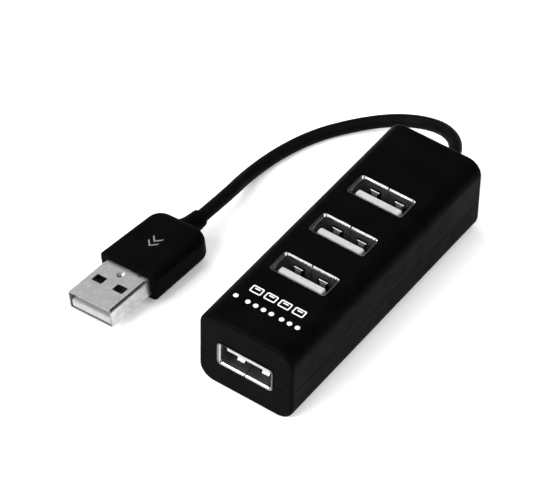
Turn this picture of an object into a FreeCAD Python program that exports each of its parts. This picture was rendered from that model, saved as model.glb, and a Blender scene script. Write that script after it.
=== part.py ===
import FreeCAD, Part
import math
import os

# Four-socket USB hub: a bar-shaped two-part housing with three sockets in its top
# and one in its front end, a circuit board inside, and a short captive lead that
# ends in a type A plug.
#
# Millimetres.  The origin is the middle of the housing's underside, +Z is up and
# +Y runs along the bar towards the end that the lead leaves.

VECTOR = FreeCAD.Vector
X_AXIS = VECTOR(1, 0, 0)
Y_AXIS = VECTOR(0, 1, 0)
Z_AXIS = VECTOR(0, 0, 1)

# Housing
HUB_L = 70.0
HUB_W = 23.4
HUB_H = 19.4
WALL = 1.6
EDGE_R = 3.7            # the four long edges
CORNER_R = 1.0          # the four upright corners, seen from above
END_EDGE_R = 0.6        # top and bottom edges of each end face
SEAM_Z = 8.4            # parting line of the two halves
SEAM_GROOVE = 0.14      # height of the shadow line around the seam
SEAM_DEPTH = 0.25
LIP_T = 0.7             # locating lip that the lower half sends up into the upper
LIP_H = 1.1
FIT_GAP = 0.08
TOUCH_GAP = 0.05        # pieces that rest on each other are drawn this far apart
CAVITY_R = 0.5          # the cavity's upright corners
MERGE = 0.2             # a feature reaches this far into the wall that it grows from
LEDGE_Y = (-22.5, -7.3, 6.7, 24.0)
LEDGE_W = 2.4           # ledges that the board lies on, and their reach under it
LEDGE_REACH = 0.9
RIB_Y = (-7.3, 6.7)
RIB_W = 1.4             # ribs in the upper half that hold the board down
RIB_REACH = 1.1
ROOF_GAP = 1.0          # the ribs stop this far below the roof
CRADLE_Y = (30.4, 31.3)
CRADLE_DROP = 2.2       # the cradle's top lies this far below the lead's axis

# Sockets: USB type A receptacles.  The opening is 12.5 x 5.1, the sheet 0.3.
SOCKET_W = 12.5
SOCKET_H = 5.1
SHEET = 0.3
SOCKET_R = 0.7
FLANGE_W = 14.3         # flared mouth
FLANGE_H = 6.1
FLANGE_CORNER_R = 1.2
RIM = 0.4               # flat rim around the flare, and the flare's depth
LEAD_IN = 0.35
PROUD = 0.25            # the socket's rim stands this far out of the housing
PORT_PITCH = 14.0
PORT_Y = [13.7, 13.7 - PORT_PITCH, 13.7 - 2 * PORT_PITCH]
END_PORT_Z = 9.8
TONGUE_W = 11.1
TONGUE_T = 1.84
TONGUE_FACE = -0.08     # contact side of the tongue, from the socket's middle plane
TONGUE_SETBACK = 0.9
END_TONGUE_SETBACK = 1.5
SEAT_DEPTH = 12.0       # how far a plug goes in
SHELL_SEAM = 0.16       # gap where the ends of the folded sheet meet
END_SHELL_DEPTH = 13.6
END_BASE_DEPTH = 14.0
END_LEG_DEPTH = 6.8     # the end socket's board legs, from its mouth
BASE_FIT = 0.1          # the insulator's base is this much smaller than the opening
TONGUE_CHAMFER = 0.3
CONTACT_X = [-3.5, -1.0, 1.0, 3.5]
CONTACT_W = 1.0
CONTACT_T = 0.2
CONTACT_FACE = TONGUE_FACE - 0.02
CONTACT_BOW = 0.34      # a contact stands out this far where it touches
CONTACT_DEPTHS = (3.2, 4.6, 5.4, 7.0)   # its tip, the two ends of its bow's crest, the bow's root
TAIL_SETBACK = 0.5      # the end socket's tails go down this far behind its base
GROOVE_DEPTH = 0.25     # grooves in the tongue that the contacts lie in
GROOVE_GAP = 0.03
GROOVE_FRONT = 2.6
SPRING_X = [-3.1, 3.1]
SPRING_W = 2.1
SPRING_T = 0.25
SPRING_LINE = [(2.3, -6.2), (2.02, -4.4), (2.02, -3.6), (2.42, -2.3)]   # the fingers' free part
CLIP_W = 8.6            # the cross strip that joins the fingers
CLIP_H = 1.0
WINDOW_W = 2.6
WINDOW_DEPTH = (1.5, 9.0)
HINGE_DEPTH = 9.4       # axis that a spring clip flexes about
HINGE_OUT = 3.07

# Circuit board and what it carries
BOARD_L = 65.6
BOARD_W = 19.0
BOARD_T = 1.2
BOARD_TOP = 6.8
BOARD_BOTTOM = BOARD_TOP - BOARD_T
NOTCH_X = 3.0
NOTCH_Y = 3.6
BAY_W = 8.4             # bay in the board's rear edge that the lead comes in through
BAY_Y = 27.3
POST_X = 8.45
POST_Y = 31.5
POST_R = 1.35
PIN_R = 0.75
PIN_L = 3.0
TAIL_DROP = 0.8         # leads stand out below the board this far
LEG_W = 1.2
LEG_ROOT = 1.0          # a leg starts this far up its side wall
END_LEG_ROOT = 1.5      # the end socket's legs start this far below its axis
TAIL_HOLE_GAP = 0.2     # holes in the board are this much larger than the tails and legs
LEG_HOLE_GAP = 0.3
WIRE_PADS = [("red", -2.7), ("white", -0.9), ("green", 0.9), ("black", 2.7)]
PAD_Y = 19.6
CHIP_Y = 6.7
CHIP_L = 9.9
CHIP_W = 3.9
CHIP_TOP = BOARD_TOP + 1.6
CHIP_LIFT = 0.15
CHIP_CHAMFER = 0.22
LEAD_PITCH = 1.27
LEAD_W = 0.42
CRYSTAL_Y = -7.3
CRYSTAL_BASE = (11.2, 4.6, 2.29)   # length, width and corner radius, then the can's
CRYSTAL_CAN = (10.3, 3.8, 1.89)
CRYSTAL_BASE_H = 0.5
CRYSTAL_H = 3.5
CRYSTAL_PIN_X = 2.44
CAN_SPOTS = [(-6.1, 22.4), (6.1, 22.4)]
CAN_R = 2.5
CAN_H = 6.8
CAN_TOP_R = 1.95
CAN_ROLL = 0.4          # the sleeve's rolled edge stands this far above the recessed top
CAN_TOP_T = 0.25
SCORE_L = 2.8           # the crossed vent score
SCORE_W = 0.24

# Lead
CORD_R = 1.5
CORD_Z = 8.4
GLAND_FACE_Y = 36.6
SHEATH_END_Y = 27.0
WIRE_R = 0.45
NECK_R = 2.5            # gland: in the wall, inside it and outside it
GLAND_FLANGE_R = 3.6
GLAND_FLANGE_T = 1.25
COLLAR_ROOT_R = 2.9
COLLAR_TIP_R = 2.3
TIE_Y = (28.0, 30.2)
TIE_T = 0.9
TIE_HEAD_W = 3.0
TIE_HEAD_H = 2.3

# Plug: a standard 12 x 4.5 shell in a moulded grip, lying a little turned and
# tipped over on its left lower edge.
PLUG_X = -38.3
PLUG_Y = -36.95
PLUG_Z = 4.35
PLUG_YAW = -4.0
PLUG_ROLL = -8.0
PLUG_W = 12.0
PLUG_H = 4.5
PLUG_R = 0.55
PLUG_BARE = 12.3        # bare length of the shell
PLUG_BURIED = 6.0
PLUG_WINDOW_X = 2.9
PLUG_WINDOW_W = 2.8
PLUG_WINDOW_Y = (5.5, 7.6)
OUTER_BLADE_Y = 1.9     # where the power blades begin behind the mouth, and the data ones
INNER_BLADE_Y = 2.9
TAB_R = 0.95            # round tab pressed in behind the windows
TAB_Y = 10.1
TAB_GAP = 0.35          # the crescent-shaped opening behind the tab
FOLD_X = (5.3, 5.6)     # open fold along the right-hand top edge
FOLD_Y = (0.5, 11.0)
INSULATOR_W = 11.3
INSULATOR_Y = 0.5       # the insulating block's nose, behind the shell's mouth
INSULATOR_END_Y = PLUG_BARE + 5.0
BLADE_W = 1.0
BLADE_Z = (-0.15, 0.05)
BLADE_TAIL = 0.6        # the blades end this far behind the block
GRIP_W = 15.3
GRIP_H = 7.2
GRIP_R = 2.3
GRIP_L = 18.0
GRIP_BACK_R = 3.2
BOOT_L = 5.4
BOOT_BASE_R = 2.8
BOOT_TIP_R = 1.95

PLUG_LENGTH = PLUG_BARE + GRIP_L + BOOT_L
YAW = math.radians(-PLUG_YAW)
CORD_END = (PLUG_X + PLUG_LENGTH * math.sin(YAW), PLUG_Y + PLUG_LENGTH * math.cos(YAW), PLUG_Z)
LAST_RUN = 8.6

# The lead's route: straight out of the back, round to the left while it comes
# down to the table, along the table and up a little into the plug.
ROUTE = [
    (0.0, GLAND_FACE_Y, CORD_Z),
    (0.0, 42.4, CORD_Z),
    (-2.8, 47.9, 7.3),
    (-8.1, 51.2, 5.9),
    (-14.7, 51.5, 4.1),
    (-21.1, 49.0, 2.8),
    (-27.1, 43.8, 1.8),
    (-32.2, 36.4, 1.55),
    (-35.4, 27.2, 1.55),
    (-36.7, 17.2, 1.8),
    (CORD_END[0] + LAST_RUN * math.sin(YAW), CORD_END[1] + LAST_RUN * math.cos(YAW), PLUG_Z),
    CORD_END,
]


# ---------------------------------------------------------------- helpers

def box(x0, x1, y0, y1, z0, z1):
    return Part.makeBox(x1 - x0, y1 - y0, z1 - z0, VECTOR(x0, y0, z0))


def cylinder(radius, start, end):
    axis = VECTOR(*end) - VECTOR(*start)
    return Part.makeCylinder(radius, axis.Length, VECTOR(*start), axis)


def cone(r0, r1, start, end):
    axis = VECTOR(*end) - VECTOR(*start)
    return Part.makeCone(r0, r1, axis.Length, VECTOR(*start), axis)


def rounded_outline(width, height, radius):
    """A rounded rectangle in the XY plane, centred on the origin."""
    x = width / 2
    y = height / 2
    d = radius * (1 - math.sqrt(0.5))
    r = radius
    edges = [
        Part.LineSegment(VECTOR(-x + r, -y, 0), VECTOR(x - r, -y, 0)),
        Part.Arc(VECTOR(x - r, -y, 0), VECTOR(x - d, -y + d, 0), VECTOR(x, -y + r, 0)),
        Part.LineSegment(VECTOR(x, -y + r, 0), VECTOR(x, y - r, 0)),
        Part.Arc(VECTOR(x, y - r, 0), VECTOR(x - d, y - d, 0), VECTOR(x - r, y, 0)),
        Part.LineSegment(VECTOR(x - r, y, 0), VECTOR(-x + r, y, 0)),
        Part.Arc(VECTOR(-x + r, y, 0), VECTOR(-x + d, y - d, 0), VECTOR(-x, y - r, 0)),
        Part.LineSegment(VECTOR(-x, y - r, 0), VECTOR(-x, -y + r, 0)),
        Part.Arc(VECTOR(-x, -y + r, 0), VECTOR(-x + d, -y + d, 0), VECTOR(-x + r, -y, 0)),
    ]
    return Part.Wire([edge.toShape() for edge in edges])


def upright_prism(width, length, radius, z0, z1):
    """A rounded rectangle seen from above, between two heights."""
    prism = Part.Face(rounded_outline(width, length, radius)).extrude(VECTOR(0, 0, z1 - z0))
    prism.translate(VECTOR(0, 0, z0))
    return prism


def lengthwise_prism(width, height, radius, y0, y1, z_mid):
    """A rounded rectangle seen along Y, between two stations."""
    prism = Part.Face(rounded_outline(width, height, radius)).extrude(VECTOR(0, 0, y1 - y0))
    prism.rotate(VECTOR(0, 0, 0), X_AXIS, 90)
    prism.translate(VECTOR(0, y1, z_mid))
    return prism


def strip(profile, x_mid, width):
    """A bent strip: a closed (y, z) outline with a width along X."""
    points = [VECTOR(x_mid - width / 2, y, z) for y, z in profile]
    outline = Part.makePolygon(points + [points[0]])
    return Part.Face(outline).extrude(VECTOR(width, 0, 0))


def thick_line(points, thickness):
    """The outline of a sheet of even thickness whose inner side follows (y, z) points."""
    outer = []
    for i, (y, z) in enumerate(points):
        before = points[max(i - 1, 0)]
        after = points[min(i + 1, len(points) - 1)]
        run = math.hypot(after[0] - before[0], after[1] - before[1])
        outer.append((y + thickness * abs(after[1] - before[1]) / run, z
                      - thickness * (after[0] - before[0]) / run * math.copysign(1, after[1] - before[1])))
    return list(points) + outer[::-1]


def union(shapes):
    return shapes[0].multiFuse(shapes[1:]).removeSplitter()


def tube(route, radius):
    """Straight runs joined by arcs as large as their two runs allow."""
    points = [VECTOR(*p) for p in route]
    edges = []
    start = points[0]
    length = 0.0
    for before, corner, after in zip(points, points[1:], points[2:]):
        run_in = corner - before
        run_out = after - corner
        turn = run_in.getAngle(run_out)
        reach = 0.45 * min(run_in.Length, run_out.Length)
        bend = reach / math.tan(turn / 2)
        print("bend %5.1f deg  radius %5.1f" % (math.degrees(turn), bend))
        into = VECTOR(run_in).normalize()
        out = VECTOR(run_out).normalize()
        arc_start = corner - into * reach
        arc_end = corner + out * reach
        inward = (out - into).normalize()
        middle = corner + inward * (bend / math.cos(turn / 2) - bend)
        edges.append(Part.LineSegment(start, arc_start).toShape())
        edges.append(Part.Arc(arc_start, middle, arc_end).toShape())
        length += (arc_start - start).Length + bend * turn
        start = arc_end
    edges.append(Part.LineSegment(start, points[-1]).toShape())
    length += (points[-1] - start).Length
    path = Part.Wire(edges)
    section = Part.Wire([Part.makeCircle(radius, points[0], points[1] - points[0])])
    solid = path.makePipeShell([section], True, False)
    print("tube length %.2f, volume %.2f against %.2f"
          % (length, solid.Volume, math.pi * radius ** 2 * length))
    return solid


# ---------------------------------------------------------------- sockets
# A socket is drawn with its mouth at z = 0 facing +Z and its depth along -Z.
# Its tongue is on the -Y side and its spring clip on the +Y side.

def socket_shell(depth, leg_runs):
    outer_w = SOCKET_W + 2 * SHEET
    outer_h = SOCKET_H + 2 * SHEET
    body = upright_prism(outer_w, outer_h, SOCKET_R + SHEET, -depth, 0)
    flange = upright_prism(FLANGE_W, FLANGE_H, FLANGE_CORNER_R, -PROUD, 0)
    solid = union([body, flange])
    solid = solid.cut(upright_prism(SOCKET_W, SOCKET_H, SOCKET_R, -depth, 0))
    wide = rounded_outline(FLANGE_W - 2 * RIM, FLANGE_H - 2 * RIM, SOCKET_R + RIM)
    narrow = rounded_outline(SOCKET_W, SOCKET_H, SOCKET_R)
    narrow.translate(VECTOR(0, 0, -LEAD_IN))
    solid = solid.cut(Part.makeLoft([narrow, wide], True, True))
    for x in SPRING_X:
        solid = solid.cut(box(x - WINDOW_W / 2, x + WINDOW_W / 2, 0, SOCKET_H,
                              -WINDOW_DEPTH[1], -WINDOW_DEPTH[0]))
    # the sheet is folded into a box and its ends meet in a seam on the spring side
    solid = solid.cut(box(-SHELL_SEAM / 2, SHELL_SEAM / 2, 0, SOCKET_H, -depth, 0))
    for x0, x1, y0, y1, z0, z1 in leg_runs:
        solid = union([solid, box(x0, x1, y0, y1, z0, z1)])
    return solid


def contact_profile(tail):
    """A contact lies along the tongue, bows out where it touches, and goes down its tail."""
    tip, crest_start, crest_end, bow_root = CONTACT_DEPTHS
    crest = CONTACT_FACE + CONTACT_BOW
    front = [(CONTACT_FACE, -tip), (crest, -crest_start), (crest, -crest_end), (CONTACT_FACE, -bow_root),
             (CONTACT_FACE, -tail)]
    back = [(y - CONTACT_T, z) for y, z in front]
    return front + back[::-1]


def socket_insulator(base_end, setback):
    base = upright_prism(SOCKET_W - BASE_FIT, SOCKET_H - BASE_FIT, SOCKET_R, -base_end, -SEAT_DEPTH)
    tongue = box(-TONGUE_W / 2, TONGUE_W / 2, TONGUE_FACE - TONGUE_T, TONGUE_FACE,
                 -SEAT_DEPTH, -setback)
    tip_edges = [e for e in tongue.Edges if abs(e.CenterOfMass.z + setback) < 1e-6]
    tongue = tongue.makeChamfer(TONGUE_CHAMFER, tip_edges)
    solid = union([base, tongue])
    half = CONTACT_W / 2 + GROOVE_GAP
    for x in CONTACT_X:
        solid = solid.cut(box(x - half, x + half, TONGUE_FACE - GROOVE_DEPTH, TONGUE_FACE + 0.01,
                              -SEAT_DEPTH, -GROOVE_FRONT))
        solid = solid.cut(box(x - half, x + half, TONGUE_FACE - GROOVE_DEPTH, TONGUE_FACE,
                              -base_end, -SEAT_DEPTH))
    return solid


def spring_clip():
    """Two leaf fingers on one cross strip, which reach into the socket through its windows."""
    near = HINGE_OUT - SPRING_T / 2
    cross = box(-CLIP_W / 2, CLIP_W / 2, near, near + SPRING_T,
                -HINGE_DEPTH - CLIP_H / 2, -HINGE_DEPTH + CLIP_H / 2)
    inner_side = [(near, -HINGE_DEPTH), (near, -HINGE_DEPTH + CLIP_H / 2 + 0.2)] + SPRING_LINE
    fingers = [strip(thick_line(inner_side, SPRING_T), x, SPRING_W) for x in SPRING_X]
    return union([cross] + fingers)


def top_socket(y):
    """The pieces of a socket that stands on the board and opens upwards."""
    drop = HUB_H + PROUD - BOARD_TOP
    tail = drop + BOARD_T + TAIL_DROP
    half = SOCKET_W / 2 + SHEET
    legs = [(side * half - (SHEET if side > 0 else 0), side * half + (SHEET if side < 0 else 0),
             -LEG_W / 2, LEG_W / 2, -tail, -drop + LEG_ROOT) for side in (-1, 1)]
    pieces = {
        "shell": socket_shell(drop - TOUCH_GAP, legs),
        "insulator": socket_insulator(drop - TOUCH_GAP, TONGUE_SETBACK),
        "contacts": Part.makeCompound([strip(contact_profile(tail), x, CONTACT_W) for x in CONTACT_X]),
        "spring": spring_clip(),
    }
    for shape in pieces.values():
        shape.translate(VECTOR(0, y, HUB_H + PROUD))
    return pieces


def end_socket():
    """The pieces of the socket that lies on the board and opens at the front end."""
    board_side = END_PORT_Z - BOARD_TOP
    tail = board_side + BOARD_T + TAIL_DROP
    half = SOCKET_W / 2 + SHEET
    legs = [(side * half - (SHEET if side > 0 else 0), side * half + (SHEET if side < 0 else 0),
             END_LEG_ROOT, tail, -END_LEG_DEPTH - LEG_W / 2, -END_LEG_DEPTH + LEG_W / 2)
            for side in (-1, 1)]
    contacts = []
    tail_depth = END_BASE_DEPTH + TAIL_SETBACK
    for x in CONTACT_X:
        lying = strip(contact_profile(tail_depth + CONTACT_T), x, CONTACT_W)
        down = box(x - CONTACT_W / 2, x + CONTACT_W / 2, CONTACT_FACE - CONTACT_T, tail,
                   -tail_depth - CONTACT_T, -tail_depth)
        contacts.append(union([lying, down]))
    pieces = {
        "shell": socket_shell(END_SHELL_DEPTH, legs),
        "insulator": socket_insulator(END_BASE_DEPTH, END_TONGUE_SETBACK),
        "contacts": Part.makeCompound(contacts),
        "spring": spring_clip(),
    }
    for shape in pieces.values():
        shape.rotate(VECTOR(0, 0, 0), VECTOR(0, 1, -1), 180)
        shape.translate(VECTOR(0, -HUB_L / 2 - PROUD, END_PORT_Z))
    return pieces


# ---------------------------------------------------------------- housing

def hub_solid(inset, corner, edge):
    """The housing's outer form, moved inwards by an even amount."""
    along = lengthwise_prism(HUB_W - 2 * inset, HUB_H - 2 * inset, edge,
                             -HUB_L / 2 + inset, HUB_L / 2 - inset, HUB_H / 2)
    plan = upright_prism(HUB_W - 2 * inset, HUB_L - 2 * inset, corner, inset, HUB_H - inset)
    return along.common(plan)


def soften_ends(solid):
    """Round off the end faces' top and bottom edges: the outline that the side view shows."""
    side = Part.Face(rounded_outline(HUB_L, HUB_H, END_EDGE_R)).extrude(VECTOR(0, 0, 2 * HUB_W))
    side.rotate(VECTOR(0, 0, 0), X_AXIS, 90)
    side.rotate(VECTOR(0, 0, 0), Z_AXIS, 90)
    side.translate(VECTOR(-HUB_W, 0, HUB_H / 2))
    return solid.common(side)


def socket_openings():
    gap = FIT_GAP
    width = SOCKET_W + 2 * SHEET + 2 * gap
    height = SOCKET_H + 2 * SHEET + 2 * gap
    cuts = []
    for y in PORT_Y:
        hole = upright_prism(width, height, SOCKET_R + SHEET, HUB_H - WALL - 1, HUB_H + 1)
        hole.translate(VECTOR(0, y, 0))
        cuts.append(hole)
    cuts.append(lengthwise_prism(width, height, SOCKET_R + SHEET, -HUB_L / 2 - 1,
                                 -HUB_L / 2 + WALL + 1, END_PORT_Z))
    # the neck of the gland
    cuts.append(cylinder(NECK_R + FIT_GAP, (0, HUB_L / 2 - WALL - 1, CORD_Z), (0, HUB_L / 2 + 1, CORD_Z)))
    return cuts


def seam_ring(inset, z0, z1):
    """A plan ring between the outside and a depth into the wall."""
    big = upright_prism(HUB_W + 2, HUB_L + 2, CORNER_R, z0, z1)
    small = upright_prism(HUB_W - 2 * inset, HUB_L - 2 * inset, max(CORNER_R - inset, 0.3), z0, z1)
    return big.cut(small)


def lip_solid(clearance):
    """The locating lip, or with a clearance the recess that takes it."""
    inset = WALL - LIP_T - clearance
    height = LIP_H + clearance
    ring = upright_prism(HUB_W - 2 * inset, HUB_L - 2 * inset, CORNER_R - inset, SEAM_Z, SEAM_Z + height)
    return ring.cut(hub_solid(WALL, CAVITY_R, EDGE_R - WALL))


def make_housing():
    outer = soften_ends(hub_solid(0, CORNER_R, EDGE_R))
    inner = hub_solid(WALL, CAVITY_R, EDGE_R - WALL)
    walls = outer.cut(inner)
    below = box(-HUB_W, HUB_W, -HUB_L, HUB_L, -1, SEAM_Z)
    above = box(-HUB_W, HUB_W, -HUB_L, HUB_L, SEAM_Z, HUB_H + 1)
    groove = seam_ring(SEAM_DEPTH, SEAM_Z - SEAM_GROOVE / 2, SEAM_Z + SEAM_GROOVE / 2)

    lower_parts = [walls.common(below), lip_solid(0)]
    floor = WALL
    inside_x = HUB_W / 2 - WALL
    for y in LEDGE_Y:
        for side in (-1, 1):
            x0, x1 = sorted((side * (BOARD_W / 2 - LEDGE_REACH), side * (inside_x + MERGE)))
            lower_parts.append(box(x0, x1, y - LEDGE_W / 2, y + LEDGE_W / 2, floor - MERGE, BOARD_BOTTOM))
    for x in (-POST_X, POST_X):
        for y in (-POST_Y, POST_Y):
            lower_parts.append(cylinder(POST_R, (x, y, floor - MERGE), (x, y, SEAM_Z)))
    # a cradle under the gland's inner flange
    lower_parts.append(box(-GLAND_FLANGE_R, GLAND_FLANGE_R, *CRADLE_Y, floor - MERGE, CORD_Z - CRADLE_DROP))
    lower = union(lower_parts)
    for x in (-POST_X, POST_X):
        for y in (-POST_Y, POST_Y):
            lower = lower.cut(cylinder(PIN_R + FIT_GAP, (x, y, SEAM_Z - PIN_L - 0.2), (x, y, SEAM_Z + 0.1)))

    upper_parts = [walls.common(above).cut(lip_solid(FIT_GAP))]
    ceiling = HUB_H - WALL
    for y in RIB_Y:
        for side in (-1, 1):
            # clear of the wall below the lip, and grown from it above
            x0, x1 = sorted((side * (BOARD_W / 2 - RIB_REACH), side * (inside_x - 0.1)))
            upper_parts.append(box(x0, x1, y - RIB_W / 2, y + RIB_W / 2, BOARD_TOP + TOUCH_GAP,
                                   ceiling - ROOF_GAP))
            x0, x1 = sorted((side * (BOARD_W / 2 - RIB_REACH), side * (inside_x + MERGE)))
            upper_parts.append(box(x0, x1, y - RIB_W / 2, y + RIB_W / 2, SEAM_Z + LIP_H + 0.3,
                                   ceiling - ROOF_GAP))
    for x in (-POST_X, POST_X):
        for y in (-POST_Y, POST_Y):
            upper_parts.append(cylinder(POST_R, (x, y, SEAM_Z + 0.1), (x, y, ceiling - 0.9)))
            upper_parts.append(cylinder(PIN_R, (x, y, SEAM_Z - PIN_L), (x, y, SEAM_Z + MERGE)))
    upper = union(upper_parts)
    # the posts run up into the rounded roof, so they are trimmed to the outer form
    upper = upper.common(outer)

    for hole in socket_openings():
        lower = lower.cut(hole)
        upper = upper.cut(hole)
    return upper.cut(groove), lower.cut(groove)


# ---------------------------------------------------------------- board

def make_board():
    board = box(-BOARD_W / 2, BOARD_W / 2, -BOARD_L / 2, BOARD_L / 2, BOARD_BOTTOM, BOARD_TOP)
    for sx in (-1, 1):
        for sy in (-1, 1):
            x0, x1 = sorted((sx * (BOARD_W / 2 - NOTCH_X), sx * (BOARD_W / 2 + 1)))
            y0, y1 = sorted((sy * (BOARD_L / 2 - NOTCH_Y), sy * (BOARD_L / 2 + 1)))
            board = board.cut(box(x0, x1, y0, y1, 0, 10))
    # room for the lead where it comes in
    board = board.cut(box(-BAY_W / 2, BAY_W / 2, BAY_Y, BOARD_L, 0, 10))
    tail_hole = (CONTACT_W + TAIL_HOLE_GAP, CONTACT_T + TAIL_HOLE_GAP)
    leg_hole = (SHEET + LEG_HOLE_GAP, LEG_W + LEG_HOLE_GAP)
    slots = []
    for y in PORT_Y:
        for x in CONTACT_X:
            slots.append((x, y + CONTACT_FACE - CONTACT_T / 2) + tail_hole)
        for side in (-1, 1):
            slots.append((side * (SOCKET_W + SHEET) / 2, y) + leg_hole)
    mouth_y = -HUB_L / 2 - PROUD
    for x in CONTACT_X:
        slots.append((x, mouth_y + END_BASE_DEPTH + TAIL_SETBACK + CONTACT_T / 2) + tail_hole)
    for side in (-1, 1):
        slots.append((side * (SOCKET_W + SHEET) / 2, mouth_y + END_LEG_DEPTH) + leg_hole)
    # relief under the root and under the tips of the end socket's spring clip
    slots.append((0, mouth_y + 8.0, 9.4, 4.8))
    slots.append((0, mouth_y + 2.4, 9.4, 2.6))
    for x, y, w, d in slots:
        board = board.cut(box(x - w / 2, x + w / 2, y - d / 2, y + d / 2, BOARD_BOTTOM - 1, BOARD_TOP + 1))
    return board


def dome(x, y, z, radius, up):
    """A solder fillet: a low cone frustum on the board."""
    return cone(radius, radius * 0.45, (x, y, z), (x, y, z + up))


def make_solder():
    joints = []
    for _, x in WIRE_PADS:
        joints.append(dome(x, PAD_Y, BOARD_TOP, 0.75, 0.5))
    for x, y in CAN_SPOTS:
        for side in (-1, 1):
            joints.append(dome(x + side, y, BOARD_BOTTOM, 0.7, -0.6))
    for side in (-1, 1):
        joints.append(dome(side * CRYSTAL_PIN_X, CRYSTAL_Y, BOARD_BOTTOM, 0.7, -0.6))
    return Part.makeCompound(joints)


def make_chip():
    body = box(-CHIP_L / 2, CHIP_L / 2, CHIP_Y - CHIP_W / 2, CHIP_Y + CHIP_W / 2,
               BOARD_TOP + CHIP_LIFT, CHIP_TOP)
    top_edges = [e for e in body.Edges if abs(e.CenterOfMass.z - CHIP_TOP) < 1e-6]
    body = body.makeChamfer(CHIP_CHAMFER, top_edges)
    dot = cylinder(0.35, (-4.1, CHIP_Y - 1.2, CHIP_TOP - 0.1), (-4.1, CHIP_Y - 1.2, CHIP_TOP + 0.1))
    return body.cut(dot)


def make_chip_leads():
    """Eight gull-wing leads on each long side."""
    leads = []
    for side in (-1, 1):
        y_body = CHIP_W / 2
        outline = [(y_body, 0.78), (y_body + 0.42, 0.78), (y_body + 0.6, 0.16), (y_body + 1.05, 0.16),
                   (y_body + 1.05, 0.0), (y_body + 0.45, 0.0), (y_body + 0.27, 0.62), (y_body, 0.62)]
        profile = [(CHIP_Y + side * y, BOARD_TOP + z) for y, z in outline]
        for i in range(8):
            leads.append(strip(profile, (i - 3.5) * LEAD_PITCH, LEAD_W))
    return Part.makeCompound(leads)


def make_crystal():
    shoulder = BOARD_TOP + CRYSTAL_BASE_H
    top = BOARD_TOP + CRYSTAL_H
    base = upright_prism(*CRYSTAL_BASE, BOARD_TOP, shoulder)
    can = upright_prism(*CRYSTAL_CAN, shoulder, top)
    can = can.makeFillet(0.4, [e for e in can.Edges if abs(e.CenterOfMass.z - top) < 1e-6])
    solid = union([base, can])
    solid.translate(VECTOR(0, CRYSTAL_Y, 0))
    return solid


def make_cans():
    """Two small electrolytic capacitors: the sleeves and, apart, the bare metal tops."""
    sleeves = []
    tops = []
    for x, y in CAN_SPOTS:
        rim = BOARD_TOP + CAN_H
        sleeve = cylinder(CAN_R, (x, y, BOARD_TOP), (x, y, rim))
        sleeve = sleeve.makeFillet(0.35, [e for e in sleeve.Edges if abs(e.CenterOfMass.z - rim) < 1e-6])
        sleeves.append(sleeve.cut(cylinder(CAN_TOP_R, (x, y, rim - CAN_ROLL), (x, y, rim + MERGE))))
        top = cylinder(CAN_TOP_R, (x, y, rim - CAN_ROLL), (x, y, rim - CAN_ROLL + CAN_TOP_T))
        for along, across in ((SCORE_L / 2, SCORE_W / 2), (SCORE_W / 2, SCORE_L / 2)):
            top = top.cut(box(x - along, x + along, y - across, y + across, rim - 0.3, rim))
        tops.append(top)
    return Part.makeCompound(sleeves), Part.makeCompound(tops)


def make_small_parts(spots, height):
    """Surface-mounted blocks, 1.6 by 0.8, with raised end caps."""
    blocks = []
    for x, y in spots:
        middle = box(x - 0.45, x + 0.45, y - 0.38, y + 0.38, BOARD_TOP + 0.04, BOARD_TOP + height - 0.04)
        caps = [box(x + s - 0.18, x + s + 0.18, y - 0.4, y + 0.4, BOARD_TOP, BOARD_TOP + height)
                for s in (-0.62, 0.62)]
        blocks.append(union([middle] + caps))
    return Part.makeCompound(blocks)


# ---------------------------------------------------------------- lead

def make_gland():
    """Moulded onto the lead: its collar outside is solid, its neck and flange are around the sheath."""
    y_wall = HUB_L / 2 - WALL
    neck = cylinder(NECK_R, (0, y_wall - 0.1, CORD_Z), (0, HUB_L / 2 + 0.1, CORD_Z))
    inner_face = y_wall - TOUCH_GAP
    flange = cylinder(GLAND_FLANGE_R, (0, inner_face - GLAND_FLANGE_T, CORD_Z), (0, inner_face, CORD_Z))
    collar = cone(COLLAR_ROOT_R, COLLAR_TIP_R, (0, HUB_L / 2 + 0.05, CORD_Z), (0, GLAND_FACE_Y, CORD_Z))
    solid = union([neck, flange, collar])
    return solid.cut(cylinder(CORD_R, (0, y_wall - 2, CORD_Z), (0, HUB_L / 2, CORD_Z)))


def make_tie():
    """A cable tie around the sheath just inside the gland."""
    y0, y1 = TIE_Y
    band = cylinder(CORD_R + TIE_T, (0, y1, CORD_Z), (0, y0, CORD_Z))
    band = band.cut(cylinder(CORD_R + 0.02, (0, y1 + 1, CORD_Z), (0, y0 - 1, CORD_Z)))
    head_z = CORD_Z + CORD_R + TIE_T - MERGE
    head = box(-TIE_HEAD_W / 2, TIE_HEAD_W / 2, y0 - 0.3, y1 + 0.1, head_z, head_z + TIE_HEAD_H)
    return union([band, head])


def wire_path(x_pad, x_core, z_core):
    """A core leaves the sheath straight, fans out and comes down on its pad."""
    z_fan = CORD_Z + 0.75 * (z_core - CORD_Z)
    return [(x_core, SHEATH_END_Y, z_core), (x_core, 25.4, z_core), (x_pad * 0.8, 23.2, z_fan),
            (x_pad, 21.4, BOARD_TOP + 1.0), (x_pad, PAD_Y + 0.7, BOARD_TOP + 0.9)]


# ---------------------------------------------------------------- plug
# Drawn with the middle of the shell's mouth at the origin and the lead towards +Y.

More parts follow.
